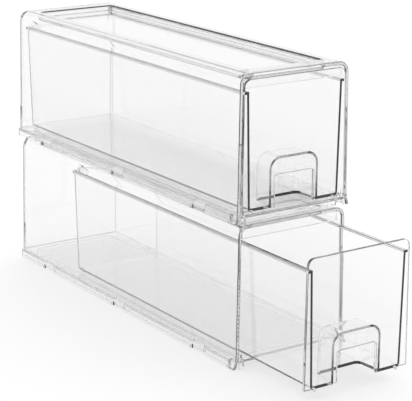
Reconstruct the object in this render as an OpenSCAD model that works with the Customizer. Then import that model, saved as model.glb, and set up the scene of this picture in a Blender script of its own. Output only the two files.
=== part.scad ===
// Two clear drawer boxes, stacked. Each box is a hood-shaped case that snaps onto a base
// tray, with one moulded drawer inside. X runs to the right, Y to the back and Z up. The
// origin is on the ground, in the middle of the stack with its lower drawer as far open
// as it is drawn here.

/* [Stack] */
// How far the lower drawer stands open
lower_open = 78.5; // [0:0.1:200]
// How far the upper drawer stands open
upper_open = 0.8; // [0:0.1:200]

/* [Case] */
// Length of a case from its mouth to the foot of its rear wall
case_l = 335; // [250:1:420]
// Width of a case across its top
case_w = 98.8; // [80:0.1:130]
// Height of a case's rim above the surface that its base stands on
case_h = 112.3; // [90:0.1:150]
// Thickness of a case's walls and top
case_wall = 2.8; // [2.2:0.1:3.2]
// How much each side wall leans out from rim to foot
side_draft = 1.45; // [0.5:0.05:3]
// How much the rear wall leans out from rim to foot
rear_draft = 2.5; // [0.5:0.1:4]
// Outer radius of the two long top edges
case_edge_r = 8.3; // [5:0.1:10]

/* [Sunk top panel] */
// Width of the rim round the sunk panel
rim_w = 14.5; // [13:0.1:18]
// Depth of the sunk panel below the rim
recess_depth = 4.5; // [1.5:0.1:5]
// Corner radius of the sunk panel
recess_r = 3; // [1:0.1:6]

/* [Mouth] */
// How far the header strip hangs below the inside of the top
header_drop = 8.3; // [7.5:0.1:10]
// Thickness of the header strip
header_t = 2.6; // [1.5:0.1:4]
// Space between each end of the header strip and the side wall
header_end_gap = 2.2; // [0.5:0.1:5]

/* [Base tray] */
// How far the tray stands out past each side wall's foot
base_ledge = 1.6; // [1.2:0.1:4]
// How far the tray stands out in front of the case
base_front = 0.3; // [0:0.1:1]
// How far the tray stands out behind the case
base_rear = 0.2; // [0:0.1:2]
// Height of the deck's upper face
deck_top = 7.7; // [6.5:0.1:12]
// Thickness of the deck
deck_t = 2.2; // [1.5:0.1:3]
// Thickness of the skirt
skirt_t = 1.5; // [1:0.1:2]
// Height of the skirt's lower edge above the ground
skirt_lift = 0.4; // [0:0.1:1]
// Thickness of the rib that the box stands on
rib_t = 1.8; // [1.2:0.1:3]
// Distance of the rib's ends from the tray's front and rear
rib_end_inset = 6.5; // [4:0.1:10]
// Height of the bead along the skirt's lower edge
bead_h = 2.5; // [1:0.1:3]
// How far the bead stands out of the skirt
bead_out = 0.4; // [0.2:0.1:1]
// Space between an end of the bead and the next window or foot
bead_gap = 1.5; // [0.5:0.1:4]
// Thickness of the short webs between skirt and rib
web_t = 1.2; // [0.8:0.1:2]
// Height of the webs' lower edge above the ground
web_foot = 1.5; // [0.6:0.1:3]
// Distance from a snap tab's middle to its web
web_offset = 20; // [14:0.5:30]

/* [Snap tabs] */
// Number of snap tabs on each long side
tab_count = 3; // [2:1:5]
// Width of a tab's window
tab_w = 16.5; // [8:0.5:24]
// Thickness of a tab
tab_t = 1.8; // [1.2:0.1:2]
// Distance of the first window's middle from the mouth
tab_front = 48.5; // [30:0.5:70]
// Distance of the last window's middle from the rear
tab_rear = 51.3; // [30:0.1:70]
// Height of the windows above the ground
window_top = 4.2; // [3:0.1:4.5]
// Height of a tab's tip above the skirt's lower edge
tab_lift = 0.6; // [0.3:0.1:1]
// How far a tab's hook stays behind the skirt's face
hook_inset = 0.3; // [0:0.1:0.6]
// Thickness of a hook's blunt edge
hook_t = 1; // [0.6:0.1:1.5]

/* [Front feet of the case] */
// Depth of a front foot, from the mouth backwards
foot_l = 7; // [4:0.5:12]
// Height at which the side wall starts to flare into its foot
flare_top = 13; // [11:0.5:20]
// How far the foot flares out
flare_out = 2.2; // [1:0.1:3]

/* [Guide posts] */
// Thickness of a guide post
post_t = 1.6; // [1:0.1:3]
// Length of a guide post along the drawer
post_l = 5; // [3:0.5:10]
// Height of a guide post above the deck
post_h = 3.1; // [2:0.1:5]
// How far a guide post leans out from foot to tip
post_lean = 2.5; // [0.5:0.1:3]

/* [Drawer] */
// Thickness of the drawer's walls and floor
drawer_wall = 1.5; // [1.2:0.1:2.4]
// Height of the drawer's underside above the deck
floor_lift = 2.2; // [1.2:0.1:4]
// Drop from the header strip's lower edge to the drawer's rim
rim_drop = 3.3; // [2:0.1:8]
// How much each side wall leans in from rim to floor
drawer_draft = 1.9; // [0.5:0.1:3]
// How far the rim flange stands out of the wall
flange_out = 1.9; // [0.8:0.05:3]
// How far the rim flange stands out of the rear wall
flange_rear_out = 1; // [0.5:0.1:3]
// Thickness of the rim flange
flange_t = 1.6; // [1:0.1:3]
// How far the rear wall leans in from rim to floor
drawer_rear_draft = 1; // [0.2:0.1:2]

/* [Front plate] */
// Thickness of the front plate
plate_t = 2.7; // [2:0.1:3.5]
// How far the shut plate stands out of the mouth
plate_proud = 0.5; // [0:0.1:1]
// Height of the plate's lower edge above the deck
plate_lift = 2.2; // [1:0.1:4]
// Radius of the plate's two upper corners
plate_r = 5.6; // [3:0.1:8]

/* [Finger pull] */
// Outer width of the arched pocket at the plate
pull_w = 45; // [38:0.1:60]
// Height of the pocket's crown above the drawer's underside
pull_h = 38; // [30:0.1:55]
// Depth of the pocket from the plate's face
pull_depth = 24; // [14:0.1:40]
// Radius of the arch's two shoulders
pull_r = 10; // [6:0.1:14]
// Radius of the pocket's rear edges
pull_back_r = 6; // [3:0.1:8]
// How much each cheek of the pocket leans in from the plate to the back
pull_taper = 1.2; // [0.5:0.1:4]
// Width of the plate's lip between the pocket's inside and each side of the finger hole
lip_side = 2.65; // [1:0.05:6]
// Height of the plate's lip between the finger hole and the pocket's inner crown
lip_top = 11.7; // [6:0.1:18]
// Corner radius of the finger hole
hole_r = 2.5; // [1:0.1:5]

/* [Feet and stops] */
// Width of a drawer foot
nub_w = 2; // [1.2:0.1:4]
// Length of a drawer foot
nub_l = 6; // [3:0.5:12]
// Distance of a drawer foot from the drawer's front or rear face
nub_inset = 0.4; // [0:0.1:10]
// Distance of a drawer foot's middle inside the foot of the drawer's side wall
nub_side_inset = 3.8; // [2:0.1:12]
// Thickness of a stop fin
stop_t = 2; // [1:0.1:4]
// Length of a stop fin along the drawer
stop_l = 12; // [6:0.5:25]
// Height of a stop fin's root below the drawer's rim
stop_root = 16; // [8:0.5:30]
// How far the fins reach above the header strip's lower edge
stop_catch = 1.5; // [0.5:0.1:2]
// Space between a stop fin and the drawer's side wall
stop_side_gap = 2.7; // [1:0.1:6]

/* [Clearances] */
// Gap between a case and the rib of the box that stands on it
stack_gap = 0.3; // [0.1:0.05:0.5]
// Gap between a case's foot and the deck
seat_gap = 0.2; // [0.1:0.05:0.5]
// Gap round a snap tab and round a front foot
snap_gap = 0.3; // [0.2:0.05:0.6]
// Gap between the front plate and the case's side wall
plate_side_gap = 0.45; // [0.3:0.05:1]
// Gap between the front plate and the inside of the case's top
plate_top_gap = 1.5; // [0.5:0.1:2]
// Gap between the shut front plate and the header strip
plate_header_gap = 0.5; // [0.3:0.1:1]
// Gap between the rim flange and the case's side wall
flange_side_gap = 1.4; // [0.6:0.05:3]
// Gap between the rim flange and the case's rear wall
flange_rear_gap = 0.5; // [0.3:0.1:3]
// Gap between a drawer foot and the deck
nub_gap = 0.3; // [0.1:0.05:0.5]
// Gap between a guide post and the foot of the drawer's wall
post_gap = 1.8; // [0.4:0.1:2.5]
// Gap between a guide post and the shut front plate
post_plate_gap = 1; // [0.5:0.1:3]

/* [Hidden] */
$fn = 64;

clear_case = [0.90, 0.92, 0.93, 0.35];
clear_base = [0.84, 0.87, 0.89, 0.45];
clear_drawer = [0.93, 0.95, 0.96, 0.35];
// A cut runs this far past the face that it opens
past = 1;
// A shape that grows out of another starts this deep inside it
root = 0.5;

// Case
case_foot = deck_top + seat_gap;
side_slope = side_draft / (case_h - case_foot);
rear_slope = rear_draft / (case_h - case_foot);
ceiling = case_h - case_wall;
panel_top = case_h - recess_depth;
panel_under = panel_top - case_wall;
recess_half = case_w / 2 - rim_w;
recess_y0 = rim_w;
recess_y1 = case_l - rear_draft - rim_w;
function case_half(z) = case_w / 2 + side_slope * (case_h - z);
function inner_half(z) = case_half(z) - case_wall;
function case_rear(z) = case_l - rear_slope * (z - case_foot);
function inner_rear(z) = case_rear(z) - case_wall;

// Mouth
header_under = ceiling - header_drop;
header_y0 = plate_t - plate_proud + plate_header_gap;
header_half = inner_half(ceiling) - header_end_gap;

// Base tray
base_half = case_half(case_foot) + base_ledge;
skirt_in = base_half - skirt_t;
rib_half = case_w / 2 - case_edge_r - 1;
deck_under = deck_top - deck_t;
tab_step = (case_l - tab_front - tab_rear) / (tab_count - 1);
tab_ys = [for (i = [0 : tab_count - 1]) tab_front + i * tab_step];
tab_out = skirt_in - snap_gap;
tab_in = tab_out - tab_t;
tab_foot = skirt_lift + tab_lift;
hook_top = window_top - snap_gap;
hook_out = snap_gap + skirt_t - hook_inset;

// Drawer, with its front plate's face at y = 0
floor_under = deck_top + floor_lift;
floor_top = floor_under + drawer_wall;
plate_back = plate_t;
plate_foot = deck_top + plate_lift;
plate_top = ceiling - plate_top_gap;
rim_top = header_under - rim_drop;
flange_half = inner_half(rim_top) - flange_side_gap;
wall_half_top = flange_half - flange_out;
wall_half_foot = wall_half_top - drawer_draft;
flange_rear = inner_rear(rim_top) + plate_proud - flange_rear_gap;
wall_rear_top = flange_rear - flange_rear_out;
wall_rear_foot = wall_rear_top - drawer_rear_draft;
nub_foot = deck_top + nub_gap;
pull_top = floor_under + pull_h;
hole_half = pull_w / 2 - drawer_wall - lip_side;
hole_top = pull_top - drawer_wall - lip_top;
nub_x = wall_half_foot - nub_side_inset;
stop_top = header_under + stop_catch;
stop_x = wall_half_top - drawer_wall - stop_side_gap;
stop_root_z = rim_top - stop_root;
post_y0 = plate_t - plate_proud + post_plate_gap;
post_tip = deck_top + post_h;
function post_lean_at(z) = post_lean * (z - post_tip) / (post_tip - skirt_lift);
post_x = wall_half_foot + post_gap - post_lean_at(floor_under);

// Stack
pitch = case_h + stack_gap;
front_y = -plate_proud - max(lower_open, upper_open);
middle_y = (front_y + case_l + base_rear) / 2;

// A shape drawn in x and z, carried along y
module along_y(y0, y1) {
  translate([0, y1, 0]) rotate([90, 0, 0]) linear_extrude(y1 - y0) children();
}

// A shape drawn in y and z, carried along x
module along_x(x0, x1) {
  translate([x0, 0, 0]) rotate([90, 0, 90]) linear_extrude(x1 - x0) children();
}

// A shape drawn in x and y, carried up z
module along_z(z0, z1) {
  translate([0, 0, z0]) linear_extrude(z1 - z0) children();
}

module mirrored() {
  children();
  mirror([1, 0, 0]) children();
}

// Flat outline with a straight foot, leaning sides and two round upper corners.
// The sides touch the corner circles, whatever the lean.
module hood_outline(half_foot, half_top, v_foot, v_top, r) {
  lean = (half_foot - half_top) / (v_top - v_foot);
  side = sqrt(1 + lean * lean);
  cu = half_top + lean * r - r * side;
  tu = cu + r / side;
  tv = v_top - r + r * lean / side;
  polygon([[-half_foot, v_foot], [half_foot, v_foot], [tu, tv], [cu, v_top],
           [-cu, v_top], [-tu, tv]]);
  for (s = [-1, 1]) translate([s * cu, v_top - r]) circle(r);
}

module rounded_rect(half, y0, y1, r) {
  translate([-half, y0 + r]) square([2 * half, y1 - y0 - 2 * r]);
  translate([r - half, y0]) square([2 * (half - r), y1 - y0]);
  for (x = [r - half, half - r], y = [y0 + r, y1 - r]) translate([x, y]) circle(r);
}

// ---- Case ----

// The case's block or, with an inset of one wall, the hollow inside it
module case_block(inset, y0, z0) {
  half_foot = case_half(z0) - inset;
  half_top = case_half(case_h - inset) - inset;
  intersection() {
    along_y(y0, case_l + past)
      hood_outline(half_foot, half_top, z0, case_h - inset, case_edge_r - inset);
    along_x(-half_foot - past, half_foot + past)
      polygon([[y0, z0], [case_rear(z0) - inset, z0],
               [case_rear(case_h) - inset, case_h], [y0, case_h]]);
  }
}

// Walls of the sunk panel, before the recess is cut
module panel_tub() {
  along_z(panel_under, ceiling + past)
    rounded_rect(recess_half + case_wall, recess_y0 - case_wall, recess_y1 + case_wall,
                 recess_r + case_wall);
}

module recess() {
  along_z(panel_top, case_h + past)
    rounded_rect(recess_half, recess_y0, recess_y1, recess_r);
}

// Strip inside the mouth that stops the plate and catches the stop fins
module header() {
  along_y(header_y0, header_y0 + header_t)
    translate([-header_half, header_under])
      square([2 * header_half, ceiling - header_under + case_wall / 2]);
}

// Right front foot: the side wall flares out by the 1.5th power of its drop
module front_foot() {
  steps = 8;
  drop = flare_top - tab_foot;
  function flare(i) = flare_out * pow(i / steps, 1.5);
  function level(i) = flare_top - drop * i / steps;
  along_y(0, foot_l)
    polygon(concat(
      [[case_half(flare_top) - root, flare_top]],
      [for (i = [1 : steps]) [case_half(level(i)) + flare(i), level(i)]],
      [for (i = [steps : -1 : 1]) [inner_half(level(i)) + flare(i), level(i)]],
      [[inner_half(flare_top) + root, flare_top]]));
}

// Right snap tab at a distance y from the mouth, with its hook on the outside
module snap_tab(y) {
  half = tab_w / 2 - snap_gap;
  along_y(y - half, y + half)
    polygon([[tab_in, tab_foot], [tab_out, tab_foot],
             [tab_out + hook_out, hook_top - hook_t], [tab_out + hook_out, hook_top],
             [tab_out, hook_top], [tab_out, case_foot + root], [tab_in, case_foot + root]]);
}

module housing() {
  difference() {
    union() {
      difference() {
        case_block(0, 0, case_foot);
        case_block(case_wall, -past, case_foot - past);
      }
      panel_tub();
      header();
      mirrored() {
        front_foot();
        for (y = tab_ys) snap_tab(y);
      }
    }
    recess();
  }
}

// ---- Base tray ----

// Right half of the bead on the skirt, left out at the windows
module skirt_beads() {
  ends = concat([foot_l + snap_gap],
                [for (y = tab_ys) each [y - tab_w / 2, y + tab_w / 2]],
                [case_l + base_rear]);
  for (i = [0 : tab_count]) {
    along_y(ends[2 * i] + bead_gap, ends[2 * i + 1] - bead_gap)
      translate([base_half - root, skirt_lift]) square([bead_out + root, bead_h]);
  }
}

// Rib under the deck that stands on the ground or on the rim of the box below
module standing_rib() {
  y0 = rib_end_inset - base_front;
  y1 = case_l + base_rear - rib_end_inset;
  along_z(0, deck_under + deck_t / 2) difference() {
    rounded_rect(rib_half, y0, y1, recess_r + rib_t);
    rounded_rect(rib_half - rib_t, y0 + rib_t, y1 - rib_t, recess_r);
  }
}

// Right guide post, which keeps the drawer in the middle of the mouth
module guide_post() {
  toe = post_x + post_lean_at(skirt_lift);
  along_y(post_y0, post_y0 + post_l)
    polygon([[toe, skirt_lift], [toe + post_t, skirt_lift],
             [post_x + post_t, post_tip], [post_x, post_tip]]);
}

module base() {
  y0 = -base_front;
  y1 = case_l + base_rear;
  notch_half = inner_half(case_foot) - snap_gap;
  difference() {
    union() {
      along_z(deck_under, deck_top) translate([-base_half, y0])
        square([2 * base_half, y1 - y0]);
      along_z(skirt_lift, deck_under + deck_t / 2) difference() {
        translate([-base_half, y0]) square([2 * base_half, y1 - y0]);
        translate([-skirt_in, y0 + skirt_t]) square([2 * skirt_in, y1 - y0 - 2 * skirt_t]);
      }
      standing_rib();
      mirrored() {
        skirt_beads();
        guide_post();
        for (y = tab_ys) along_z(web_foot, deck_under + deck_t / 2)
          translate([rib_half - rib_t / 2, y + web_offset - web_t / 2])
            square([skirt_in - rib_half + rib_t / 2 + skirt_t / 2, web_t]);
      }
    }
    mirrored() {
      for (y = tab_ys) {
        along_z(deck_under - past, deck_top + past)
          translate([tab_in - snap_gap, y - tab_w / 2])
            square([skirt_in - tab_in + snap_gap, tab_w]);
        along_z(skirt_lift - past, window_top)
          translate([skirt_in - past, y - tab_w / 2])
            square([skirt_t + bead_out + 2 * past, tab_w]);
      }
      along_z(-past, deck_top + past) translate([notch_half, y0 - past])
        square([base_half - notch_half + past, foot_l + snap_gap - y0 + past]);
    }
  }
}

// ---- Drawer ----

function drawer_half(z) =
  wall_half_foot + drawer_draft * (z - floor_under) / (rim_top - floor_under);
function drawer_rear(z) =
  wall_rear_foot + drawer_rear_draft * (z - floor_under) / (rim_top - floor_under);

// The drawer's block or, with an inset of one wall, the space inside it
module drawer_block(inset, y0, z0, z1) {
  intersection() {
    along_y(y0, case_l)
      polygon([[-drawer_half(z0) + inset, z0], [drawer_half(z0) - inset, z0],
               [drawer_half(z1) - inset, z1], [-drawer_half(z1) + inset, z1]]);
    along_x(-case_w, case_w)
      polygon([[y0, z0], [drawer_rear(z0) - inset, z0], [drawer_rear(z1) - inset, z1],
               [y0, z1]]);
  }
}

module rim_flange() {
  along_z(rim_top - flange_t, rim_top)
    translate([-flange_half, plate_back - root])
      square([2 * flange_half, flange_rear - plate_back + root]);
}

module front_plate() {
  half_foot = inner_half(plate_foot) - plate_side_gap;
  half_top = inner_half(plate_top) - plate_side_gap;
  along_y(0, plate_back)
    hood_outline(half_foot, half_top, plate_foot, plate_top, plate_r);
}

// The arched pocket's outside or, with an inset of one wall, its inside
module pull_pocket(inset, y0, z0) {
  half = pull_w / 2 - inset;
  rear = pull_depth - inset;
  crown = pull_top - inset;
  intersection() {
    along_y(y0, rear) hood_outline(half, half, z0, crown, pull_r - inset);
    along_z(z0, crown) hood_outline(half, half - pull_taper, y0, rear, pull_back_r - inset);
    along_x(-half - past, half + past) {
      r = pull_back_r - inset;
      translate([y0, z0]) square([rear - y0 - r, crown - z0]);
      translate([y0, z0]) square([rear - y0, crown - z0 - r]);
      translate([rear - r, crown - r]) circle(r);
    }
  }
}

module finger_hole() {
  along_y(-past, plate_back)
    hood_outline(hole_half, hole_half, floor_under - 2 * past, hole_top, hole_r);
}

// Right foot that slides on the deck, under the plate or at the rear
module nub(y0) {
  along_z(nub_foot, floor_under + drawer_wall / 2)
    translate([nub_x - nub_w / 2, y0]) square([nub_w, nub_l]);
}

// Right stop fin on the rear wall
module stop_fin() {
  root = drawer_rear(rim_top) - drawer_wall / 2;
  tip = drawer_rear(rim_top) - drawer_wall - stop_l;
  along_x(stop_x - stop_t, stop_x)
    polygon([[root, stop_root_z], [root, stop_top], [tip, stop_top],
             [tip, rim_top - flange_t]]);
}

module drawer() {
  difference() {
    union() {
      difference() {
        union() {
          drawer_block(0, plate_back - root, floor_under, rim_top);
          rim_flange();
        }
        drawer_block(drawer_wall, plate_back, floor_top, rim_top + past);
      }
      front_plate();
      pull_pocket(0, plate_back - root, floor_under);
      mirrored() {
        nub(nub_inset);
        nub(wall_rear_foot - nub_l - nub_inset);
        stop_fin();
      }
    }
    pull_pocket(drawer_wall, plate_back, floor_under - past);
    finger_hole();
  }
}

// ---- Stack ----

module in_stack(level, out) {
  translate([0, -middle_y - out, level * pitch]) children();
}

module lower_base() {
  color(clear_base) in_stack(0, 0) base();
}

module lower_housing() {
  color(clear_case) in_stack(0, 0) housing();
}

module lower_drawer() {
  color(clear_drawer) in_stack(0, lower_open + plate_proud) drawer();
}

module upper_base() {
  color(clear_base) in_stack(1, 0) base();
}

module upper_housing() {
  color(clear_case) in_stack(1, 0) housing();
}

module upper_drawer() {
  color(clear_drawer) in_stack(1, upper_open + plate_proud) drawer();
}

lower_base();
lower_housing();
lower_drawer();
upper_base();
upper_housing();
upper_drawer();
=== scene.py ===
"""Two clear drawer boxes, stacked, with the lower drawer pulled out part of the way.

Each box is three clear mouldings: a base tray, a hood-shaped case that snaps onto it and a drawer.
They are drawn here in millimetres in the box's own place, with y = 0 at the mouth of the case (or
at the face of the drawer's front plate) and z = 0 at the foot of the tray, and then moved to where
the frame has them.
"""
import math

import bmesh
import bpy
import numpy as np
from mathutils import Matrix, Vector


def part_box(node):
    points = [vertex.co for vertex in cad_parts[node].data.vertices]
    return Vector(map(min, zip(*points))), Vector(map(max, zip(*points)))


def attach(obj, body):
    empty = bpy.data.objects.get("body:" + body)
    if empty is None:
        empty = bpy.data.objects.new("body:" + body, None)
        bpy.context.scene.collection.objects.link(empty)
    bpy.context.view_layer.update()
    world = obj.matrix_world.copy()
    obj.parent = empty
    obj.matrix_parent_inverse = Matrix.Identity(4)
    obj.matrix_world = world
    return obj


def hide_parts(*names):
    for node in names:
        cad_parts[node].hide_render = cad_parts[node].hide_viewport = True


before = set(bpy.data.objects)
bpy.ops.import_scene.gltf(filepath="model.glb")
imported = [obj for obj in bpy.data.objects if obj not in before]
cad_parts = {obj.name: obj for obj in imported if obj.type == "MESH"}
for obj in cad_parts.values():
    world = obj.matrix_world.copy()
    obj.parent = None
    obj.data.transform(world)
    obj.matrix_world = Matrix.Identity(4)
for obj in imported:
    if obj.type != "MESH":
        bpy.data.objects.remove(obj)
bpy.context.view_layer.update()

MM = 0.001
PAST = 1.0      # a cut runs this far past the face that it opens
ROOT = 0.5      # a shape that grows out of another starts this deep inside it
MERGE = 0.002   # points that are closer than this are one
EDGE_STEPS, CORNER_STEPS = 3, 4     # faces that go round a block's edges and corners

# ---- Sizes in millimetres ----

# Case
CASE_L, CASE_W, CASE_H = 335.0, 98.8, 112.3
CASE_WALL = 2.8
CASE_EDGE_R = 8.3
HOOD_STEPS = 20
SIDE_DRAFT, REAR_DRAFT = 1.45, 2.5
HOOD_FOOT_R = 0.4
MOUTH_R = 0.6           # the rounded edges of the wall's end at the mouth
MOUTH_STEPS = 6         # faces that go round each of them
MOUTH_BAND, MOUTH_INNER_BAND = 1.0, 0.7     # width of the faces behind them that get painted shade too
REAR_R, INNER_REAR_R = 1.6, 1.0             # the edges round the rear wall, outside and inside
RIM_W, RECESS_DEPTH, RECESS_R = 14.5, 4.5, 3.0
RECESS_EDGE_R, RECESS_FOOT_R, RECESS_UNDER_R = 1.3, 0.3, 2.0
HEADER_DROP, HEADER_T, HEADER_END_GAP, HEADER_R = 8.3, 2.6, 2.2, 0.5
FOOT_L, FLARE_TOP, FLARE_OUT, FRONT_FOOT_R = 7.0, 13.0, 2.2, 0.7
FLARE_POWER, FLARE_ROWS = 1.5, 12

# Base tray
BASE_LEDGE, BASE_FRONT, BASE_REAR = 1.6, 0.3, 0.2
DECK_TOP, DECK_T, DECK_UNDER_R = 7.7, 2.2, 0.8
SKIRT_T, SKIRT_LIFT, SKIRT_R, SKIRT_INNER_R, SKIRT_CORNER_R = 1.5, 0.4, 0.5, 1.0, 1.5
RIB_T, RIB_SIDE_INSET, RIB_END_INSET, RIB_R = 1.8, 1.0, 6.5, 0.4
BEAD_H, BEAD_OUT, BEAD_GAP, BEAD_LIFT, BEAD_R = 2.5, 0.4, 1.5, 0.1, 0.35
WEB_T, WEB_FOOT, WEB_OFFSET = 1.2, 1.5, 20.0
TAB_COUNT, TAB_W, TAB_T, TAB_FRONT, TAB_REAR = 3, 16.5, 1.8, 48.5, 51.3
TAB_SIDE_GAP = 1.2      # between a tab's end and its window's
WINDOW_TOP, TAB_LIFT, HOOK_INSET, HOOK_T = 4.2, 0.6, 0.3, 1.0
POST_T, POST_L, POST_H, POST_LEAN = 1.6, 5.0, 3.1, 2.5

# Drawer
DRAWER_WALL = 1.9
FLOOR_LIFT, RIM_DROP, RIM_R = 2.2, 2.1, 0.3
DRAWER_DRAFT, DRAWER_REAR_DRAFT = 1.9, 1.0
FLANGE_OUT, FLANGE_REAR_OUT, FLANGE_T, FLANGE_R = 1.9, 1.0, 2.0, 0.4
DRAWER_REAR_R, DRAWER_REAR_STEPS = 3.0, 6
DRAWER_FOOT_R, DRAWER_INNER_FOOT_R = 2.4, 0.6
PLATE_T, PLATE_PROUD, PLATE_LIFT = 2.7, 0.5, 2.2
PLATE_R, PLATE_FOOT_R, PLATE_EDGE_R, PLATE_STEPS = 5.6, 0.6, 0.5, 12
PULL_W, PULL_H, PULL_DEPTH, PULL_R = 45.0, 38.0, 24.0, 10.0
PULL_BACK_R, PULL_TAPER, PULL_STEPS, PULL_BACK_STEPS = 6.0, 1.2, 14, 10
LIP_SIDE, LIP_TOP, HOLE_R, HOLE_EDGE_R = 2.65, 11.7, 2.5, 0.4
NUB_W, NUB_L, NUB_INSET, NUB_SIDE_INSET, NUB_R = 2.0, 6.0, 0.4, 3.8, 0.3
STOP_T, STOP_L, STOP_ROOT, STOP_CATCH, STOP_SIDE_GAP = 2.0, 12.0, 4.0, 1.5, 2.7
STOP_NOSE = 0.8         # height of the stop's front end above the rim

# Gaps between the pieces
SEAT_GAP, SNAP_GAP = 0.2, 0.3
PLATE_SIDE_GAP, PLATE_TOP_GAP, PLATE_HEADER_GAP = 0.45, 1.5, 0.5
FLANGE_SIDE_GAP, FLANGE_REAR_GAP = 1.4, 0.5
NUB_GAP, POST_GAP, POST_PLATE_GAP = 0.3, 1.8, 1.0

# Looks
POLYSTYRENE_IOR = 1.59
POLYSTYRENE_ABSORBED = "#2c3234"
WAVE_DETAIL, RUB_DETAIL = 1.0, 3.0
RUB_MM = 3.0                # the fine rubbing that dulls the faces comes in patches of this size
RUB_FROM, RUB_TO = 0.4, 0.75    # the part of its noise over which smooth faces turn to rough ones
SHARP_ANGLE = 30            # edges that turn by more than this many degrees stay crisp
PAPER_COLOUR, PAPER_GLOW = "#9e9e9e", 0.71      # under the lamp the two make white
FLOOR_HALF = 6.0            # metres
FLOOR_GAP = 0.2             # keeps the paper clear of the rib's flat foot
LAMP_WAY = (0.3, 0.2, 0.93)     # to the lamp: mostly up, and a little to the right and back
LAMP_SHARE = 1.58           # makes the lamp light level paper as an even white sky would
BOUNCES, DIFFUSE_BOUNCES = 60, 3

# Round edges, which get painted shade, are told from open faces by their strips
EDGE_STRIP = 0.5            # a round edge is made of faces narrower than this
EDGE_BENDS = (6, 40)        # and each turns from the next by an angle between these, in degrees
BENT_SHARE = 0.4            # along at least this share of its outline

# How clear of painted shade a face is left, from 0 (painted as dark as the material's edge colour) to
# 1 (open)
# Painted shade stands for light run along inside the walls; on the mouth's right it is also a painted
# reflection of a dark studio side
MOUTH_RIGHT_CLEAR, MOUTH_LEFT_CLEAR, MOUTH_FACE_CLEAR, MOUTH_TOP_CLEAR = 0.0, 0.95, 1.0, 0.3
INNER_BAND_CLEAR = 0.05
CASE_EDGE_CLEAR, TRAY_EDGE_CLEAR, DRAWER_EDGE_CLEAR = 0.1, 0.97, 0.6
DRAWER_FOOT_CLEAR, REAR_EDGE_CLEAR, HOLE_EDGE_CLEAR, CORNER_CLEAR = 0.88, 0.1, 0.6, 0.0
RECESS_TOP_CLEAR, RECESS_FOOT_CLEAR = 0.0, 0.25
RIM_CLEAR, WELL_CLEAR, FLANGE_CLEAR, WINDOW_CLEAR, POST_CLEAR = 0.9, 0.95, 0.5, 0.0, 0.2
RECESS_DARK = 1.0           # depth to which the recess's upper edge gets painted shade, in millimetres
CORNER_L = 8.0              # length over which the tray's front corners get painted shade
DECK_SATIN = 0.14           # roughness of the tray's level faces

# How the painted shade and the finishes find a face
UPRIGHT = 0.3               # it stands upright if its normal rises by less than this
FACING = 0.9                # it faces along an axis if its normal's part along it is above this
FACING_IN_MOUTH, FACING_AT_REAR = 0.85, 0.8     # the same on the round edges there
FLAT = 0.99                 # it is the flat part of a level face, without its round edges
NEAR, BESIDE, AROUND = 0.2, 0.5, 2.0    # margins in millimetres round what it belongs to

# View, in the photograph's 412 by 401 frame
PHOTO_W, PHOTO_H = 412, 401
FOCAL_PIXELS, CENTRE_X, CENTRE_Y = 1603.5, 204.05, 201.37
SENSOR = 36                 # millimetres
CLIP_END = 20               # metres
VIEW_AZIMUTH, VIEW_ELEVATION, VIEW_ROLL = -34.34, 15.98, 0.26
VIEW_PLACE = (-0.70028, -1.03566, 0.45123)

# What follows from them
CASE_FOOT = DECK_TOP + SEAT_GAP
CEILING = CASE_H - CASE_WALL
PANEL_TOP = CASE_H - RECESS_DEPTH
PANEL_UNDER = PANEL_TOP - CASE_WALL
RECESS_HALF = CASE_W / 2 - RIM_W
RECESS_Y0, RECESS_Y1 = RIM_W, CASE_L - REAR_DRAFT - RIM_W
HEADER_UNDER = CEILING - HEADER_DROP
HEADER_Y0 = PLATE_T - PLATE_PROUD + PLATE_HEADER_GAP
DECK_UNDER = DECK_TOP - DECK_T
TAB_YS = np.linspace(TAB_FRONT, CASE_L - TAB_REAR, TAB_COUNT)
FLOOR_UNDER = DECK_TOP + FLOOR_LIFT
FLOOR_TOP = FLOOR_UNDER + DRAWER_WALL
RIM_TOP = HEADER_UNDER - RIM_DROP
PLATE_FOOT, PLATE_TOP = DECK_TOP + PLATE_LIFT, CEILING - PLATE_TOP_GAP


def case_half(z):
    """Half the case's outer width, which grows evenly from the rim to the foot."""
    return CASE_W / 2 + SIDE_DRAFT * (CASE_H - z) / (CASE_H - CASE_FOOT)


def inner_half(z):
    """Half the case's inner width at a height: the outer half less one wall."""
    return case_half(z) - CASE_WALL


def case_rear(z):
    """How far back the rear wall's outer face lies at a height."""
    return CASE_L - REAR_DRAFT * (z - CASE_FOOT) / (CASE_H - CASE_FOOT)


HEADER_HALF = inner_half(CEILING) - HEADER_END_GAP
BASE_HALF = case_half(CASE_FOOT) + BASE_LEDGE
SKIRT_IN = BASE_HALF - SKIRT_T
RIB_HALF = CASE_W / 2 - CASE_EDGE_R - RIB_SIDE_INSET
TAB_OUT = SKIRT_IN - SNAP_GAP
TAB_IN = TAB_OUT - TAB_T
TAB_FOOT = SKIRT_LIFT + TAB_LIFT
HOOK_TOP = WINDOW_TOP - SNAP_GAP
HOOK_OUT = SNAP_GAP + SKIRT_T - HOOK_INSET
FLANGE_HALF = inner_half(RIM_TOP) - FLANGE_SIDE_GAP
WALL_HALF_TOP = FLANGE_HALF - FLANGE_OUT
WALL_HALF_FOOT = WALL_HALF_TOP - DRAWER_DRAFT
FLANGE_REAR = case_rear(RIM_TOP) - CASE_WALL + PLATE_PROUD - FLANGE_REAR_GAP
WALL_REAR_TOP = FLANGE_REAR - FLANGE_REAR_OUT
WALL_REAR_FOOT = WALL_REAR_TOP - DRAWER_REAR_DRAFT
PULL_TOP = FLOOR_UNDER + PULL_H
HOLE_HALF = PULL_W / 2 - DRAWER_WALL - LIP_SIDE
HOLE_TOP = PULL_TOP - DRAWER_WALL - LIP_TOP
NUB_FOOT = DECK_TOP + NUB_GAP
NUB_X = WALL_HALF_FOOT - NUB_SIDE_INSET
STOP_TOP = HEADER_UNDER + STOP_CATCH
STOP_X = WALL_HALF_TOP - DRAWER_WALL - STOP_SIDE_GAP
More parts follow.
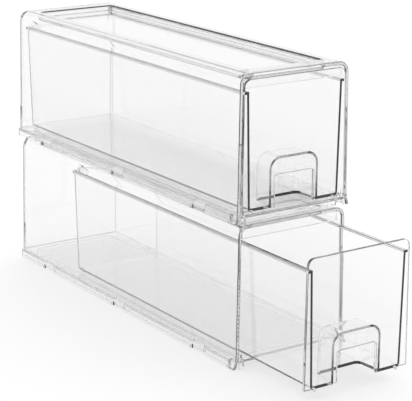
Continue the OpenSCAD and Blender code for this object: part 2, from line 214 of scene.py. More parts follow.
POST_Y0 = PLATE_T - PLATE_PROUD + POST_PLATE_GAP
POST_TIP = DECK_TOP + POST_H


def post_lean(z):
    """How far out a guide post is at a height, from where its tip is: evenly further in, down to
    minus the lean at the skirt's lower edge."""
    return POST_LEAN * (z - POST_TIP) / (POST_TIP - SKIRT_LIFT)


POST_X = WALL_HALF_FOOT + POST_GAP - post_lean(FLOOR_UNDER)


# ---- Surfaces ----

ALONG_X, ALONG_Y, ALONG_Z = 0, 1, 2


def unit(v):
    """Vectors over their own lengths."""
    return v / np.linalg.norm(v, axis=1, keepdims=True)


def inward(v):
    """Directions turned a quarter to the left, which is inwards on a counter-clockwise outline."""
    return np.stack([-v[:, 1], v[:, 0]], 1)


def drawn_in(corners, inset):
    """Corners of an outline whose sides have all moved in: each corner moves along the sum of its
    two sides' inward normals, by the inset over one plus their dot product."""
    p = np.asarray(corners, float)
    before = inward(unit(p - np.roll(p, 1, 0)))
    after = inward(unit(np.roll(p, -1, 0) - p))
    both = before + after
    return p + both * inset / (1 + (before * after).sum(1, keepdims=True))


def rounded(corners, radii, steps):
    """A closed outline with round corners. Each arc starts where its circle touches the side
    before the corner, a radius times the tangent of half the turn away, and turns evenly to the
    next side."""
    p = np.asarray(corners, float)
    r = np.broadcast_to(np.maximum(radii, 0.0), len(p))[:, None]
    before, after = unit(p - np.roll(p, 1, 0)), unit(np.roll(p, -1, 0) - p)
    turn = np.arctan2(before[:, 0] * after[:, 1] - before[:, 1] * after[:, 0],
                      (before * after).sum(1))[:, None]
    first = np.arctan2(before[:, 1:], before[:, :1]) - math.pi / 2
    angle = first + turn * np.linspace(0, 1, steps + 1)
    centre = p - before * r * np.tan(turn / 2) + inward(before) * r
    arc = np.stack([np.cos(angle), np.sin(angle)], -1) * r[:, :, None]
    return (centre[:, None] + arc).reshape(-1, 2)


def rows(a, b, edge_a=0.0, edge_b=0.0, steps=5, past_a=0.0, past_b=0.0):
    """Pairs of place and inset that carry an outline from a to b. Each edge is a quarter circle: a
    positive radius draws the outline in at that end, and a negative one flares it out."""
    q = np.linspace(0, math.pi / 2, steps + 1)
    start = np.stack([a + abs(edge_a) * (1 - np.cos(q)), edge_a * (1 - np.sin(q))], 1)
    end = np.stack([b - abs(edge_b) * (1 - np.cos(q)), edge_b * (1 - np.sin(q))], 1)[::-1]
    more_a = [[a - past_a, edge_a]] if past_a else np.empty((0, 2))
    more_b = [[b + past_b, edge_b]] if past_b else np.empty((0, 2))
    return np.concatenate([more_a, start, end, more_b])


def loft(axis, places, shape, steps=8):
    """A closed skin over a grid, with one ring of points for each place and inset along the axis.
    shape(place, inset) gives the ring's corners and their radii; a flat face closes each end."""
    rings = np.array([np.insert(rounded(*shape(place, inset), steps), axis, place, axis=1)
                      for place, inset in places])
    count, around = rings.shape[:2]
    start = np.arange(count - 1)[:, None] * around
    j = np.arange(around)[None]
    k = (j + 1) % around
    sides = np.stack([start + j, start + k, start + around + k, start + around + j], -1)
    ends = [list(range(around)), list(range((count - 1) * around, count * around))]
    return rings.reshape(-1, 3), sides.reshape(-1, 4).tolist() + ends


def fixed(corners, radii):
    """The shape of a loft whose outline only changes by its inset."""
    radii = np.broadcast_to(np.asarray(radii, float), len(corners))
    return lambda place, inset: (drawn_in(corners, inset), radii - inset)


def prism(axis, outline, a, b):
    """A flat outline carried straight from a to b."""
    return loft(axis, [(a, 0), (b, 0)], lambda place, inset: (outline, 0.0), steps=1)


def rectangle(a0, a1, b0, b1):
    """Corners of a rectangle, counter-clockwise."""
    return [(a0, b0), (a1, b0), (a1, b1), (a0, b1)]


def block(x0, x1, y0, y1, z0, z1, edge=0.0, corner=0.0):
    """A block with round upright corners and round upper and lower edges."""
    return loft(ALONG_Z, rows(z0, z1, edge, edge, steps=EDGE_STEPS),
                fixed(rectangle(x0, x1, y0, y1), max(corner, edge)), steps=CORNER_STEPS)


def both_sides(skins):
    """The skins and their mirror images in x."""
    return skins + [(points * (-1, 1, 1), faces) for points, faces in skins]


def solid(skins):
    """One object made of closed skins: doubled points are merged and every face turned outwards."""
    mesh = bpy.data.meshes.new("solid")
    bm = bmesh.new()
    for points, faces in skins:
        part = bpy.data.meshes.new("part")
        part.from_pydata((points * MM).tolist(), [], faces)
        bm.from_mesh(part)
        bpy.data.meshes.remove(part)
    bmesh.ops.remove_doubles(bm, verts=bm.verts, dist=MERGE * MM)
    bmesh.ops.recalc_face_normals(bm, faces=bm.faces)
    bm.to_mesh(mesh)
    bm.free()
    made = bpy.data.objects.new("solid", mesh)
    bpy.context.scene.collection.objects.link(made)
    return made


def combined(body, operation, skins):
    """body joined with the skins, or with them cut out of it."""
    tool = solid(skins)
    modifier = body.modifiers.new("combine", "BOOLEAN")
    modifier.operation, modifier.solver, modifier.object = operation, "MANIFOLD", tool
    result = bpy.data.meshes.new_from_object(
        body.evaluated_get(bpy.context.evaluated_depsgraph_get()))
    body.modifiers.clear()
    body.data = result
    bpy.data.objects.remove(tool)
    return body


# ---- Case ----

def hood(inset, foot):
    """Corners of the case's outline, less one even inset, with its foot at a height."""
    top = CASE_H - inset
    return [(inset - case_half(foot), foot), (case_half(foot) - inset, foot),
            (case_half(top) - inset, top), (inset - case_half(top), top)]


def leaned(skin):
    """The skin with its far end leaning as the rear wall does."""
    points, faces = skin
    points = points.copy()
    points[:, 1] *= case_rear(points[:, 2]) / CASE_L
    return points, faces


def front_foot():
    """The wall's end, flaring out by the 1.5th power of its drop."""
    def shape(z, inset):
        flare = FLARE_OUT * ((FLARE_TOP - z) / (FLARE_TOP - TAB_FOOT)) ** FLARE_POWER
        return rectangle(inner_half(z) + flare, case_half(z) + flare, 0, FOOT_L), FRONT_FOOT_R
    heights = np.linspace(TAB_FOOT, FLARE_TOP, FLARE_ROWS)
    return loft(ALONG_Z, [(z, 0) for z in heights], shape, steps=CORNER_STEPS)


def snap_tab(y):
    """A tab with its hook on the outside."""
    half = TAB_W / 2 - TAB_SIDE_GAP
    tip = TAB_OUT + HOOK_OUT
    outline = [(TAB_IN, TAB_FOOT), (TAB_OUT, TAB_FOOT), (tip, HOOK_TOP - HOOK_T), (tip, HOOK_TOP),
               (TAB_OUT, HOOK_TOP), (TAB_OUT, CASE_FOOT + ROOT), (TAB_IN, CASE_FOOT + ROOT)]
    return prism(ALONG_Y, outline, y - half, y + half)


def with_band(along, first, width):
    """The rows with one more, a band's width behind the mouth's round edge, whose own rows start
    at the first and are one more than its faces."""
    return np.insert(along, first + MOUTH_STEPS + 1, [MOUTH_R + width, 0], axis=0)


def housing():
    """The case: a hood with a hollow of the same outline less one wall, joined with the sunk
    panel's tub, less its recess, and joined with the header, the front feet and the snap tabs."""
    outer_r = [HOOD_FOOT_R, HOOD_FOOT_R, CASE_EDGE_R, CASE_EDGE_R]
    inner_r = [0.0, 0.0, CASE_EDGE_R - CASE_WALL, CASE_EDGE_R - CASE_WALL]
    along = with_band(rows(0, CASE_L, MOUTH_R, REAR_R, steps=MOUTH_STEPS), 0, MOUTH_BAND)
    body = solid([leaned(loft(ALONG_Y, along, fixed(hood(0, CASE_FOOT), outer_r), steps=HOOD_STEPS))])
    along = with_band(rows(0, CASE_L - CASE_WALL, -MOUTH_R, INNER_REAR_R, steps=MOUTH_STEPS,
                           past_a=PAST), 1, MOUTH_INNER_BAND)
    combined(body, "DIFFERENCE", [leaned(loft(
        ALONG_Y, along, fixed(hood(CASE_WALL, CASE_FOOT - 3 * PAST), inner_r), steps=HOOD_STEPS))])
    tub = rectangle(-RECESS_HALF - CASE_WALL, RECESS_HALF + CASE_WALL,
                    RECESS_Y0 - CASE_WALL, RECESS_Y1 + CASE_WALL)
    combined(body, "UNION", [loft(ALONG_Z, rows(PANEL_UNDER, CEILING + ROOT, RECESS_UNDER_R, 0.0),
                                  fixed(tub, RECESS_R + CASE_WALL))])
    well = rectangle(-RECESS_HALF, RECESS_HALF, RECESS_Y0, RECESS_Y1)
    combined(body, "DIFFERENCE", [loft(
        ALONG_Z, rows(PANEL_TOP, CASE_H, RECESS_FOOT_R, -RECESS_EDGE_R, past_b=PAST),
        fixed(well, RECESS_R))])
    combined(body, "UNION", [block(-HEADER_HALF, HEADER_HALF, HEADER_Y0, HEADER_Y0 + HEADER_T,
                                   HEADER_UNDER, CEILING + ROOT, edge=HEADER_R)]
             + both_sides([front_foot()] + [snap_tab(y) for y in TAB_YS]))
    return body


# ---- Base tray ----

def skirt_beads():
    """The bead along the skirt's lower edge, left out at the windows."""
    windows = np.sort(np.concatenate([TAB_YS - TAB_W / 2, TAB_YS + TAB_W / 2]))
    ends = np.concatenate([[FOOT_L + SNAP_GAP], windows, [CASE_L + BASE_REAR]]).reshape(-1, 2)
    return [block(BASE_HALF - ROOT, BASE_HALF + BEAD_OUT, a + BEAD_GAP, b - BEAD_GAP,
                  SKIRT_LIFT + BEAD_LIFT, SKIRT_LIFT + BEAD_H, edge=BEAD_R) for a, b in ends]


def guide_post():
    """A post that leans out from its foot, inside the skirt, to its tip above the deck."""
    foot = SKIRT_LIFT + ROOT
    toe = POST_X + post_lean(foot)
    outline = [(toe, foot), (toe + POST_T, foot), (POST_X + POST_T, POST_TIP), (POST_X, POST_TIP)]
    return prism(ALONG_Y, outline, POST_Y0, POST_Y0 + POST_L)


def base():
    """The tray: a block hollowed from below, with the rib's ring, beads, posts and webs, less the
    tabs' slots and windows and the notches for the case's front feet."""
    y0, y1 = -BASE_FRONT, CASE_L + BASE_REAR
    body = solid([block(-BASE_HALF, BASE_HALF, y0, y1, SKIRT_LIFT, DECK_TOP,
                        edge=SKIRT_R, corner=SKIRT_CORNER_R)])
    combined(body, "DIFFERENCE", [loft(
        ALONG_Z, rows(SKIRT_LIFT, DECK_UNDER, 0.0, DECK_UNDER_R, past_a=PAST),
        fixed(rectangle(-SKIRT_IN, SKIRT_IN, y0 + SKIRT_T, y1 - SKIRT_T), SKIRT_INNER_R))])
    rib_y0, rib_y1 = RIB_END_INSET - BASE_FRONT, CASE_L + BASE_REAR - RIB_END_INSET
    rib_in = RIB_HALF - RIB_T
    combined(body, "UNION", [loft(
        ALONG_Z, rows(0, DECK_UNDER + ROOT, RIB_R, 0.0),
        fixed(rectangle(-RIB_HALF, RIB_HALF, rib_y0, rib_y1), RECESS_R + RIB_T))])
    combined(body, "DIFFERENCE", [loft(
        ALONG_Z, rows(0, DECK_UNDER, -RIB_R, DECK_UNDER_R, past_a=PAST),
        fixed(rectangle(-rib_in, rib_in, rib_y0 + RIB_T, rib_y1 - RIB_T), RECESS_R))])
    webs = [block(RIB_HALF - RIB_T / 2, SKIRT_IN + SKIRT_T / 2, y + WEB_OFFSET - WEB_T / 2,
                  y + WEB_OFFSET + WEB_T / 2, WEB_FOOT, DECK_UNDER + ROOT) for y in TAB_YS]
    combined(body, "UNION", both_sides(skirt_beads() + [guide_post()] + webs))
    notch_half = inner_half(CASE_FOOT) - SNAP_GAP
    slots = [block(TAB_IN - SNAP_GAP, SKIRT_IN, y - TAB_W / 2, y + TAB_W / 2,
                   DECK_UNDER - PAST, DECK_TOP + PAST) for y in TAB_YS]
    windows = [block(SKIRT_IN - PAST, BASE_HALF + BEAD_OUT + PAST, y - TAB_W / 2, y + TAB_W / 2,
                     SKIRT_LIFT - PAST, WINDOW_TOP) for y in TAB_YS]
    notch = block(notch_half, BASE_HALF + PAST, y0 - PAST, FOOT_L + SNAP_GAP,
                  -PAST, DECK_TOP + PAST)
    combined(body, "DIFFERENCE", both_sides(slots + [notch]))
    combined(body, "DIFFERENCE", both_sides(windows))
    return body


# ---- Drawer ----

def drawer_plan(inset, y0, rear_r):
    """The drawer's plan at a height, which widens and lengthens evenly from floor to rim."""
    def shape(z, edge):
        share = (z - FLOOR_UNDER) / (RIM_TOP - FLOOR_UNDER)
        half = WALL_HALF_FOOT + DRAWER_DRAFT * share - inset - edge
        rear = WALL_REAR_FOOT + DRAWER_REAR_DRAFT * share - inset - edge
        return rectangle(-half, half, y0, rear), [0, 0, rear_r - edge, rear_r - edge]
    return shape


def pull_pocket(inset, y0, foot):
    """The arched pocket behind the finger hole. Its cheeks taper evenly to the back, and its back
    edge is a quarter circle all the way round the arch; its foot stays level."""
    def shape(y, edge):
        half = PULL_W / 2 - inset - edge - PULL_TAPER * (y - PLATE_T) / (PULL_DEPTH - PLATE_T)
        top = PULL_TOP - inset - edge
        r = PULL_R - inset - edge
        return [(-half, foot), (half, foot), (half, top), (-half, top)], [0, 0, r, r]
    along = rows(y0, PULL_DEPTH - inset, 0.0, PULL_BACK_R - inset, steps=PULL_BACK_STEPS)
    return loft(ALONG_Y, along, shape, steps=PULL_STEPS)


def stop_fin():
    """A fin inside the rear wall, whose top slopes down to the front."""
    rear = WALL_REAR_TOP - DRAWER_WALL / 2
    tip = WALL_REAR_TOP - DRAWER_WALL - STOP_L
    return prism(ALONG_X, [(rear, RIM_TOP - STOP_ROOT), (rear, STOP_TOP), (rear - STOP_T, STOP_TOP),
                           (tip, RIM_TOP + STOP_NOSE), (tip, RIM_TOP - FLANGE_T)],
                 STOP_X - STOP_T, STOP_X)


def nub(y0):
    """One of the drawer's feet."""
    return block(NUB_X - NUB_W / 2, NUB_X + NUB_W / 2, y0, y0 + NUB_L, NUB_FOOT, FLOOR_UNDER + ROOT,
                 edge=NUB_R)


def drawer():
    """The drawer: a tub and its flange, hollowed, joined with the front plate, the pull's pocket,
    the feet and the fins, and then opened at the pocket and the finger hole."""
    front = PLATE_T - ROOT
    body = solid([loft(ALONG_Z, rows(FLOOR_UNDER, RIM_TOP, DRAWER_FOOT_R, RIM_R),
                       drawer_plan(0, front, DRAWER_REAR_R), steps=DRAWER_REAR_STEPS)])
    flange = rectangle(-FLANGE_HALF, FLANGE_HALF, front, FLANGE_REAR)
    flange_r = [FLANGE_R, FLANGE_R, DRAWER_REAR_R + FLANGE_OUT, DRAWER_REAR_R + FLANGE_OUT]
    combined(body, "UNION", [loft(ALONG_Z, rows(RIM_TOP - FLANGE_T, RIM_TOP, FLANGE_R, FLANGE_R),
                                  fixed(flange, flange_r), steps=DRAWER_REAR_STEPS)])
    combined(body, "DIFFERENCE", [loft(
        ALONG_Z, rows(FLOOR_TOP, RIM_TOP, DRAWER_INNER_FOOT_R, -RIM_R, past_b=PAST),
        drawer_plan(DRAWER_WALL, PLATE_T, DRAWER_REAR_R - DRAWER_WALL),
        steps=DRAWER_REAR_STEPS)])
    foot_half = inner_half(PLATE_FOOT) - PLATE_SIDE_GAP
    top_half = inner_half(PLATE_TOP) - PLATE_SIDE_GAP
    plate = [(-foot_half, PLATE_FOOT), (foot_half, PLATE_FOOT), (top_half, PLATE_TOP),
             (-top_half, PLATE_TOP)]
    plate_r = [PLATE_FOOT_R, PLATE_FOOT_R, PLATE_R, PLATE_R]
    combined(body, "UNION", [loft(ALONG_Y, rows(0, PLATE_T, PLATE_EDGE_R, PLATE_EDGE_R),
                                  fixed(plate, plate_r), steps=PLATE_STEPS)])
    combined(body, "UNION", [pull_pocket(0, front, FLOOR_UNDER)])
    nubs = [nub(NUB_INSET), nub(WALL_REAR_FOOT - NUB_L - NUB_INSET)]
    combined(body, "UNION", both_sides(nubs + [stop_fin()]))
    combined(body, "DIFFERENCE", [pull_pocket(DRAWER_WALL, PLATE_T, FLOOR_UNDER - PAST)])
    hole = rectangle(-HOLE_HALF, HOLE_HALF, FLOOR_UNDER - 3 * PAST, HOLE_TOP)
    combined(body, "DIFFERENCE", [loft(
        ALONG_Y, rows(0, PLATE_T, -HOLE_EDGE_R, -HOLE_EDGE_R, past_a=PAST, past_b=PAST),
        fixed(hole, [0, 0, HOLE_R, HOLE_R]))])
    return body


# ---- Painted shade and satin ----

def faces_of(mesh):
    """Middles in millimetres, normals, and widths (twice the area over the outline's length) of a
    mesh's faces, with the share of each face's outline where it turns as a round edge does."""
    count = len(mesh.polygons)
    middle, normal, area = np.empty(count * 3), np.empty(count * 3), np.empty(count)
    total = np.empty(count, int)
    mesh.polygons.foreach_get("center", middle)
    mesh.polygons.foreach_get("normal", normal)
    mesh.polygons.foreach_get("area", area)
    mesh.polygons.foreach_get("loop_total", total)
    middle, normal = middle.reshape(-1, 3) / MM, normal.reshape(-1, 3)
    edge = np.empty(len(mesh.loops), int)
    mesh.loops.foreach_get("edge_index", edge)
    face = np.repeat(np.arange(count), total)[np.argsort(edge, kind="stable")].reshape(-1, 2)
    ends, place = np.empty(len(mesh.edges) * 2, int), np.empty(len(mesh.vertices) * 3)
    mesh.edges.foreach_get("vertices", ends)
    mesh.vertices.foreach_get("co", place)
    span = place.reshape(-1, 3)[ends.reshape(-1, 2)]
    length = np.linalg.norm(span[:, 0] - span[:, 1], axis=1)
    turn = np.degrees(np.arccos(np.clip((normal[face[:, 0]] * normal[face[:, 1]]).sum(1), -1, 1)))
    bent = ((turn > EDGE_BENDS[0]) & (turn < EDGE_BENDS[1])).astype(float)
    outline = sum(np.bincount(face[:, side], length, count) for side in (0, 1))
    bends = sum(np.bincount(face[:, side], bent * length, count) for side in (0, 1))
    return middle, normal, 2 * area / outline / MM, bends / outline


def marked(mesh, name, values):
    """Store one number on each face."""
    mesh.attributes.new(name, "FLOAT", "FACE").data.foreach_set("value", values)


def mark_painted_shade_and_satin(made, rule_for_shade_and_satin):
    """Give each face how clear of painted shade it is, and its satin. The rule gets the middles and
    the lengths of the normals' parts, and says how clear an open face is, how clear a round edge is
    at most, and how rough the face is. The dark edges are painted shade: it stands for what a real
    one shows, light that has run along inside the wall, and is a painted reflection of a studio's
    dark sides."""
    middle, normal, width, bends = faces_of(made.data)
    clear, edge, satin = rule_for_shade_and_satin(*middle.T, *np.abs(normal).T)
    round_edge = (width < EDGE_STRIP) & (bends > BENT_SHARE)
    marked(made.data, "clear_of_painted_shade", np.where(round_edge, np.minimum(clear, edge), clear))
    marked(made.data, "satin", satin * np.ones(len(clear)))
    return made


def case_depth(x, z):
    """How deep a place lies inside the case's outline: measured from the side or the top, and in
    the corner's square from its arc."""
    half = case_half(z)
    aside, above = np.abs(x) - (half - CASE_EDGE_R), z - (CASE_H - CASE_EDGE_R)
    corner = CASE_EDGE_R - np.hypot(aside, above)
    return np.where((aside > 0) & (above > 0), corner, np.minimum(half - np.abs(x), CASE_H - z))


def mouth_painted_shade(x, z, nx, nz):
    """How clear of painted shade the mouth's round edges are. On the uprights the edges turned to the
    right (+x) get the darkest painted shade, a painted reflection of a studio's dark right side, and
    along the top they are all the same. In the corners it changes evenly with the direction the edge
    faces."""
    inner = case_depth(x, z) > CASE_WALL / 2
    turned_left = np.where(nx > FACING_IN_MOUTH, MOUTH_LEFT_CLEAR, MOUTH_FACE_CLEAR)
    upright = np.where((x > 0) != inner, MOUTH_RIGHT_CLEAR, turned_left)
    level = nz / np.maximum(nx + nz, MM)
    return upright * (1 - level) + MOUTH_TOP_CLEAR * level


def case_painted_shade_and_satin(x, y, z, nx, ny, nz):
    """Painted shade: dark round edges at the mouth, darkest on the right, with a dark band behind
    them on its right upright, round the recess and on the case's other round edges, and a light
    painted grey on the rim and the recess's walls. The header's and the rear wall's own edges are
    left open, but for the rear's upright ones."""
    mouth = mouth_painted_shade(x, z, nx, nz)
    in_recess = ((np.abs(x) < RECESS_HALF + BESIDE) & (y > RECESS_Y0 - BESIDE)
                 & (y < RECESS_Y1 + BESIDE) & (z > PANEL_TOP - NEAR))
    recess_top = in_recess & (z > CASE_H - RECESS_DARK)
    header = (y > HEADER_Y0 - NEAR) & (y < HEADER_Y0 + HEADER_T + NEAR) & (z < CEILING)
    rear = y > CASE_L - REAR_DRAFT - CASE_WALL - AROUND
    edge = np.select(
        [y < MOUTH_R, recess_top, in_recess, header, rear & (nx > FACING_AT_REAR), rear],
        [mouth, RECESS_TOP_CLEAR, RECESS_FOOT_CLEAR, 1.0, REAR_EDGE_CLEAR, 1.0], CASE_EDGE_CLEAR)
    outer = case_depth(x, z) < CASE_WALL / 2
    right = (x > 0) & (y > MOUTH_R)
    band = right & outer & (y < MOUTH_R + MOUTH_BAND) & (nx > nz)
    inner_band = right & ~outer & (y < MOUTH_R + MOUTH_INNER_BAND) & (nx > FACING)
    well = in_recess & (z > PANEL_TOP) & (nz < UPRIGHT)
    rim = (nz > FLAT) & (z > CASE_H - NEAR) & (y > MOUTH_R)
    clear = np.select([band, inner_band, well, rim],
                      [mouth, INNER_BAND_CLEAR, WELL_CLEAR, RIM_CLEAR], 1.0)
    return clear, edge, 0.0


def tray_painted_shade_and_satin(x, y, z, nx, ny, nz):
    """Painted shade on the ends of the windows and, dark, on the round edges at the front corners and
    their posts, faint on its other round edges; and a satin deck."""
    in_skirt = (z > SKIRT_LIFT) & (z < WINDOW_TOP)
    away = (y > FOOT_L + AROUND) & (y < CASE_L - AROUND)
    window_end = away & in_skirt & (ny > FACING) & (np.abs(x) > SKIRT_IN - BESIDE)
    corner = (y < CORNER_L) & (np.abs(x) > POST_X - AROUND)
    post = (corner & (ny > FACING) & (y > POST_Y0 - NEAR) & (z > SKIRT_LIFT)
            & (np.abs(x) < POST_X + POST_T + AROUND))
    deck = (nz > FACING) & (z > DECK_UNDER - NEAR)
    clear = np.select([window_end, post], [WINDOW_CLEAR, POST_CLEAR], 1.0)
    return clear, np.where(corner, CORNER_CLEAR, TRAY_EDGE_CLEAR), deck * DECK_SATIN


def drawer_painted_shade_and_satin(x, y, z, nx, ny, nz):
    """Painted shade: a half-dark flange, which leaves out the stop fins, and dark round edges on the
    front plate and the rear wall's uprights."""
    fin = (np.abs(x) < STOP_X + NEAR) & (y < WALL_REAR_TOP - DRAWER_WALL - NEAR)
    flange = (z > RIM_TOP - FLANGE_T - NEAR) & (z < RIM_TOP + NEAR) & (y > PLATE_T) & ~fin
    rear = (y > WALL_REAR_FOOT - DRAWER_REAR_R) & (nz < UPRIGHT)
    pocket = (np.abs(x) < PULL_W / 2 + BESIDE) & (z < PULL_TOP + BESIDE)
    foot = (z < FLOOR_TOP + DRAWER_INNER_FOOT_R) & (y > PLATE_T)
    edge = np.select(
        [pocket & (y > PLATE_T + NEAR), pocket, foot, flange, rear & (nx > FACING_AT_REAR), rear],
        [1.0, HOLE_EDGE_CLEAR, DRAWER_FOOT_CLEAR, 1.0, REAR_EDGE_CLEAR, 1.0], DRAWER_EDGE_CLEAR)
    return np.where(flange & (nx + nz > FACING), FLANGE_CLEAR, 1.0), edge, 0.0


# ---- Materials ----

def linear(hex_colour):
    """An sRGB colour written as #rrggbb, in linear light."""
    c = np.array([int(hex_colour[i:i + 2], 16) for i in (1, 3, 5)]) / 255
    return (*np.where(c <= 0.04045, c / 12.92, ((c + 0.055) / 1.055) ** 2.4), 1.0)


def add(tree, kind, values={}, links={}, **properties):
    """A shader node with its properties, and its inputs' values and links by name."""
    node = tree.nodes.new("ShaderNode" + kind)
    for name, value in properties.items():
        setattr(node, name, value)
    for name, value in values.items():
        node.inputs[name].default_value = value
    for name, output in links.items():
        tree.links.new(output, node.inputs[name])
    return node


def clear_moulding(name, tint, edge, density, smooth, rough, wave_mm, wave_height_mm):
    """Clear polystyrene from a polished mould, with painted shade. The eye gets crisp dark outlines,
    painted in the edge colour for light that runs along inside a wall, and nearly colourless faces
    that the long waves of cooling just stir."""
    material = bpy.data.materials.new(name)
    material.use_nodes = True
    tree = material.node_tree
    tree.nodes.clear()
    place = add(tree, "TexCoord").outputs["Object"]
    waves = add(tree, "TexNoise", {"Scale": 1 / (wave_mm * MM), "Detail": WAVE_DETAIL},
                {"Vector": place})
    bump = add(tree, "Bump", {"Strength": 1.0, "Distance": wave_height_mm * MM},
               {"Height": waves.outputs["Fac"]})
    rub = add(tree, "TexNoise", {"Scale": 1 / (RUB_MM * MM), "Detail": RUB_DETAIL},
              {"Vector": place})
    gloss = add(tree, "MapRange",
                {"From Min": RUB_FROM, "From Max": RUB_TO, "To Min": smooth, "To Max": rough},
                {"Value": rub.outputs["Fac"]})
    # Painted shade: the face's stored level mixes the dark edge colour into the tint
    clear = add(tree, "Attribute", attribute_name="clear_of_painted_shade")
    colour = add(tree, "Mix", {}, {"Factor": clear.outputs["Fac"]}, data_type="RGBA")
    colour.inputs[6].default_value, colour.inputs[7].default_value = linear(edge), linear(tint)
    satin = add(tree, "Attribute", attribute_name="satin")
    roughness = add(tree, "Math", {}, {0: gloss.outputs["Result"], 1: satin.outputs["Fac"]},
                    operation="MAXIMUM")
    shader = add(tree, "BsdfPrincipled", {"IOR": POLYSTYRENE_IOR, "Transmission Weight": 1.0},
                 {"Base Color": colour.outputs[2], "Normal": bump.outputs["Normal"],
                  "Roughness": roughness.outputs["Value"]})
    inside = add(tree, "VolumeAbsorption",
                 {"Color": linear(POLYSTYRENE_ABSORBED), "Density": density})
    add(tree, "OutputMaterial",
        links={"Surface": shader.outputs["BSDF"], "Volume": inside.outputs["Volume"]})
    return material


def case_plastic():
    """Injection moulded in a polished tool: the eye sees through it almost without colour, between
    outlines of painted shade that are nearly black."""
    return clear_moulding("polished_polystyrene_case", "#fbfbfb", "#040404", density=0.8,
                          smooth=0.0, rough=0.0, wave_mm=45, wave_height_mm=0.01)


def base_plastic():
    """Injection moulded in a plainer tool and rubbed by the drawer: the eye gets a slight haze, and
    what shows through the deck is softened."""
    # 101112 is the painted shade on its round edges
    return clear_moulding("hazy_polystyrene_tray", "#ffffff", "#101112", density=0.2,
                          smooth=0.03, rough=0.08, wave_mm=30, wave_height_mm=0.02)


def drawer_plastic():
    """Injection moulded in a polished tool: the eye gets pale grey walls that show where they lie
    behind one another, with an outline of dark grey painted shade."""
    return clear_moulding("polished_polystyrene_drawer", "#ffffff", "#1c1e20", density=11.0,
                          smooth=0.0, rough=0.0, wave_mm=45, wave_height_mm=0.01)


def white_paper():
    """Matt white sweep paper, lit a little from below, as a light table is, so that the boxes' own
    shadow on it stays soft and pale."""
    material = bpy.data.materials.new("white_sweep_paper")
    material.use_nodes = True
    tree = material.node_tree
    tree.nodes.clear()
    matt = add(tree, "BsdfDiffuse", {"Color": linear(PAPER_COLOUR)})
    glow = add(tree, "Emission", {"Strength": PAPER_GLOW})
    both = add(tree, "AddShader")
    tree.links.new(matt.outputs[0], both.inputs[0])
    tree.links.new(glow.outputs[0], both.inputs[1])
    add(tree, "OutputMaterial", links={"Surface": both.outputs[0]})
    return material


# ---- Finishing and placing ----

def placed(made, name, material, body, node, place):
    """A copy of a moulding at its place in the frame, standing for the node."""
    mesh = made.data.copy()
    mesh.transform(Matrix.Translation(Vector(place)))
    mesh.shade_smooth()
    mesh.set_sharp_from_angle(angle=math.radians(SHARP_ANGLE))
    mesh.materials.clear()
    mesh.materials.append(material)
    piece = bpy.data.objects.new(name, mesh)
    bpy.context.scene.collection.objects.link(piece)
    even = piece.modifiers.new("even", "WEIGHTED_NORMAL")
    even.keep_sharp = True
    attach(piece, body)
    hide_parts(node)


def boxes():
    """Both boxes. The upper one stands a pitch above the lower one, and each drawer's front plate
    is where the frame has it."""
    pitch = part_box("upper_base")[0].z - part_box("lower_base")[0].z
    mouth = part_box("lower_housing")[0].y
    kinds = {"housing": (mark_painted_shade_and_satin(housing(), case_painted_shade_and_satin), case_plastic()),
             "base": (mark_painted_shade_and_satin(base(), tray_painted_shade_and_satin), base_plastic()),
             "drawer": (mark_painted_shade_and_satin(drawer(), drawer_painted_shade_and_satin), drawer_plastic())}
    for level, lift in (("lower", 0.0), ("upper", pitch)):
        for kind, (made, material) in kinds.items():
            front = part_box(f"{level}_drawer")[0].y if kind == "drawer" else mouth
            body = f"{level}_drawer" if kind == "drawer" else f"{level}_box"
            placed(made, f"clear_{level}_{kind}", material, body, f"{level}_{kind}",
                   (0, front, lift))
    for made, material in kinds.values():
        bpy.data.objects.remove(made)


# ---- Floor, light and camera ----

def floor():
    """A level sheet of paper, just under the rib."""
    corners = [(-FLOOR_HALF, -FLOOR_HALF), (FLOOR_HALF, -FLOOR_HALF),
               (FLOOR_HALF, FLOOR_HALF), (-FLOOR_HALF, FLOOR_HALF)]
    mesh = bpy.data.meshes.new("floor")
    mesh.from_pydata([(x, y, -FLOOR_GAP * MM) for x, y in corners], [], [(0, 1, 2, 3)])
    mesh.materials.append(white_paper())
    sheet = bpy.data.objects.new("floor", mesh)
    bpy.context.scene.collection.objects.link(sheet)


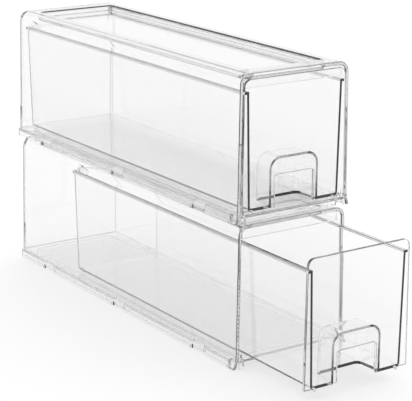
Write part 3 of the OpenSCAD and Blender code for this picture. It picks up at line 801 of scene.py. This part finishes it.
def studio():
    """A white studio: the eye, mirrors and clear walls see white all round. What lights the paper
    comes mostly from the lamp's way, by the cosine of the angle from it."""
    world = bpy.data.worlds.new("studio")
    world.use_nodes = True
    bpy.context.scene.world = world
    tree = world.node_tree
    tree.nodes.clear()
    way = add(tree, "TexCoord").outputs["Generated"]
    facing = add(tree, "VectorMath", {1: LAMP_WAY}, {0: way}, operation="DOT_PRODUCT")
    lit = add(tree, "Math", {1: 0.0}, {0: facing.outputs["Value"]}, operation="MAXIMUM")
    above = add(tree, "Math", {1: LAMP_SHARE}, {0: lit.outputs["Value"]}, operation="MULTIPLY")
    rays = add(tree, "LightPath").outputs
    bounced = add(tree, "Math", links={0: rays["Is Glossy Ray"], 1: rays["Is Transmission Ray"]},
                  operation="MAXIMUM")
    seen = add(tree, "Math", links={0: rays["Is Camera Ray"], 1: bounced.outputs["Value"]},
               operation="MAXIMUM")
    strength = add(tree, "Mix", {"B": 1.0},
                   {"Factor": seen.outputs["Value"], "A": above.outputs["Value"]})
    light = add(tree, "Background", {"Color": (1, 1, 1, 1)}, {"Strength": strength.outputs["Result"]})
    add(tree, "OutputWorld", links={"Surface": light.outputs["Background"]})


def camera():
    """The camera turned by an azimuth and an elevation from a view along +y, then rolled."""
    a, e, r = (math.radians(v) for v in (VIEW_AZIMUTH, VIEW_ELEVATION, VIEW_ROLL))
    back = Vector((math.sin(a) * math.cos(e), -math.cos(a) * math.cos(e), math.sin(e)))
    level = (-back).cross(Vector((0, 0, 1))).normalized()
    rise = level.cross(-back)
    right = level * math.cos(r) + rise * math.sin(r)
    up = rise * math.cos(r) - level * math.sin(r)
    lens = bpy.data.cameras.new("camera")
    lens.sensor_width = SENSOR
    lens.lens = FOCAL_PIXELS * SENSOR / PHOTO_W
    lens.shift_x = (PHOTO_W / 2 - CENTRE_X) / PHOTO_W
    lens.shift_y = (CENTRE_Y - PHOTO_H / 2) / PHOTO_W
    lens.clip_end = CLIP_END
    view = bpy.data.objects.new("camera", lens)
    turned = Matrix((right, up, back)).transposed().to_4x4()
    view.matrix_world = Matrix.Translation(Vector(VIEW_PLACE)) @ turned
    bpy.context.scene.collection.objects.link(view)
    bpy.context.scene.camera = view


camera()
boxes()
floor()
studio()

scene = bpy.context.scene
scene.view_settings.view_transform = "Standard"
scene.cycles.max_bounces = BOUNCES
scene.cycles.transmission_bounces = BOUNCES
scene.cycles.glossy_bounces = BOUNCES
scene.cycles.diffuse_bounces = DIFFUSE_BOUNCES
